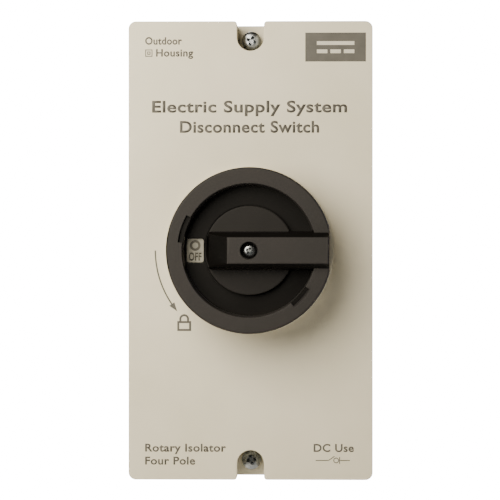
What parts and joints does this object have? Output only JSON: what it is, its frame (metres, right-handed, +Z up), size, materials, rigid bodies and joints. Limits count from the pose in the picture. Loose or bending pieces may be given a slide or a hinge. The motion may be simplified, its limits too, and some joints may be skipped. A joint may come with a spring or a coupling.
{
  "type": "rotary isolator switch",
  "caption": "Wall-mounted enclosed rotary isolator: grey moulded box with a screwed lid and a round black lockable handle that turns a square shaft through stacked switching decks.",
  "frame": {"origin": "centre of the box's flat back face, on the handle's axis", "axes": "+Y into the wall, out of the back face; +Z up along the box's long side; +X to the right as seen from the front"},
  "size_m": [0.098, 0.1085, 0.184],
  "materials": {
    "grey_moulding": "fine moulded texture",
    "black_moulding": "satin moulded",
    "dark_plate": "satin moulded",
    "silver_label": "printed film",
    "zinc_steel": "zinc plated",
    "spring_steel": "drawn wire",
    "rail_steel": "zinc plated",
    "copper": "bare copper",
    "brass": "bare brass",
    "switch_moulding": "glass-filled moulding",
    "rotor_moulding": "moulded",
    "rubber_seal": "soft seal"
  },
  "bodies": {
    "root": {"enclosure_base": "grey_moulding", "lid_gasket": "rubber_seal", "switch_deck_1": "switch_moulding", "switch_deck_2": "switch_moulding", "switch_deck_3": "switch_moulding", "switch_deck_4": "switch_moulding", "fixed_contact_1_upper": "copper", "fixed_contact_1_lower": "copper", "fixed_contact_2_upper": "copper", "fixed_contact_2_lower": "copper", "fixed_contact_3_upper": "copper", "fixed_contact_3_lower": "copper", "fixed_contact_4_upper": "copper", "fixed_contact_4_lower": "copper", "terminal_screw_1_upper": "zinc_steel", "terminal_screw_1_lower": "zinc_steel", "terminal_screw_2_upper": "zinc_steel", "terminal_screw_2_lower": "zinc_steel", "terminal_screw_3_upper": "zinc_steel", "terminal_screw_3_lower": "zinc_steel", "terminal_screw_4_upper": "zinc_steel", "terminal_screw_4_lower": "zinc_steel", "mechanism_housing": "switch_moulding", "mechanism_cover": "switch_moulding", "detent_plunger_left": "zinc_steel", "detent_plunger_right": "zinc_steel", "detent_spring_left": "spring_steel", "detent_spring_right": "spring_steel", "tie_bolt_left": "zinc_steel", "tie_bolt_right": "zinc_steel", "mounting_rail": "rail_steel", "rail_screw_left": "zinc_steel", "rail_screw_right": "zinc_steel", "switch_foot": "switch_moulding", "earth_bar": "brass", "earth_screw": "zinc_steel"},
    "lid": {"lid": "grey_moulding", "lid_screw_top": "zinc_steel", "lid_screw_bottom": "zinc_steel", "lid_screw_seal_top": "rubber_seal", "lid_screw_seal_bottom": "rubber_seal", "legend_plate": "dark_plate", "legend_off_label": "silver_label", "legend_on_label": "silver_label", "coupler_seal": "rubber_seal"},
    "knob": {"knob": "black_moulding", "knob_screw": "zinc_steel", "drive_coupler": "black_moulding"},
    "rotor": {"drive_shaft": "zinc_steel", "detent_wheel": "rotor_moulding", "contact_rotor_1": "rotor_moulding", "contact_rotor_2": "rotor_moulding", "contact_rotor_3": "rotor_moulding", "contact_rotor_4": "rotor_moulding", "contact_bridge_1": "copper", "contact_bridge_2": "copper", "contact_bridge_3": "copper", "contact_bridge_4": "copper"},
    "rail_latch": {"rail_latch": "rail_steel"}
  },
  "joints": [
    {"name": "lid_lift", "type": "slide", "parent": "root", "child": "lid", "axis": [0, -1, 0], "range_m": [0, 0.08]},
    {"name": "knob_turn", "type": "hinge", "parent": "lid", "child": "knob", "pos_m": [0, -0.0835, 0], "axis": [0, -1, 0], "range_deg": [-90, 45]},
    {"name": "rotor_turn", "type": "hinge", "parent": "root", "child": "rotor", "pos_m": [0, -0.05, 0], "axis": [0, -1, 0], "range_deg": [-90, 45]},
    {"name": "rail_latch_slide", "type": "slide", "parent": "root", "child": "rail_latch", "axis": [0, 0, -1], "range_m": [0, 0.003], "stiffness_N_per_m": 400}
  ],
  "couplings": [
    {"joint": "rotor_turn", "follows": "knob_turn", "ratio": 1}
  ]
}
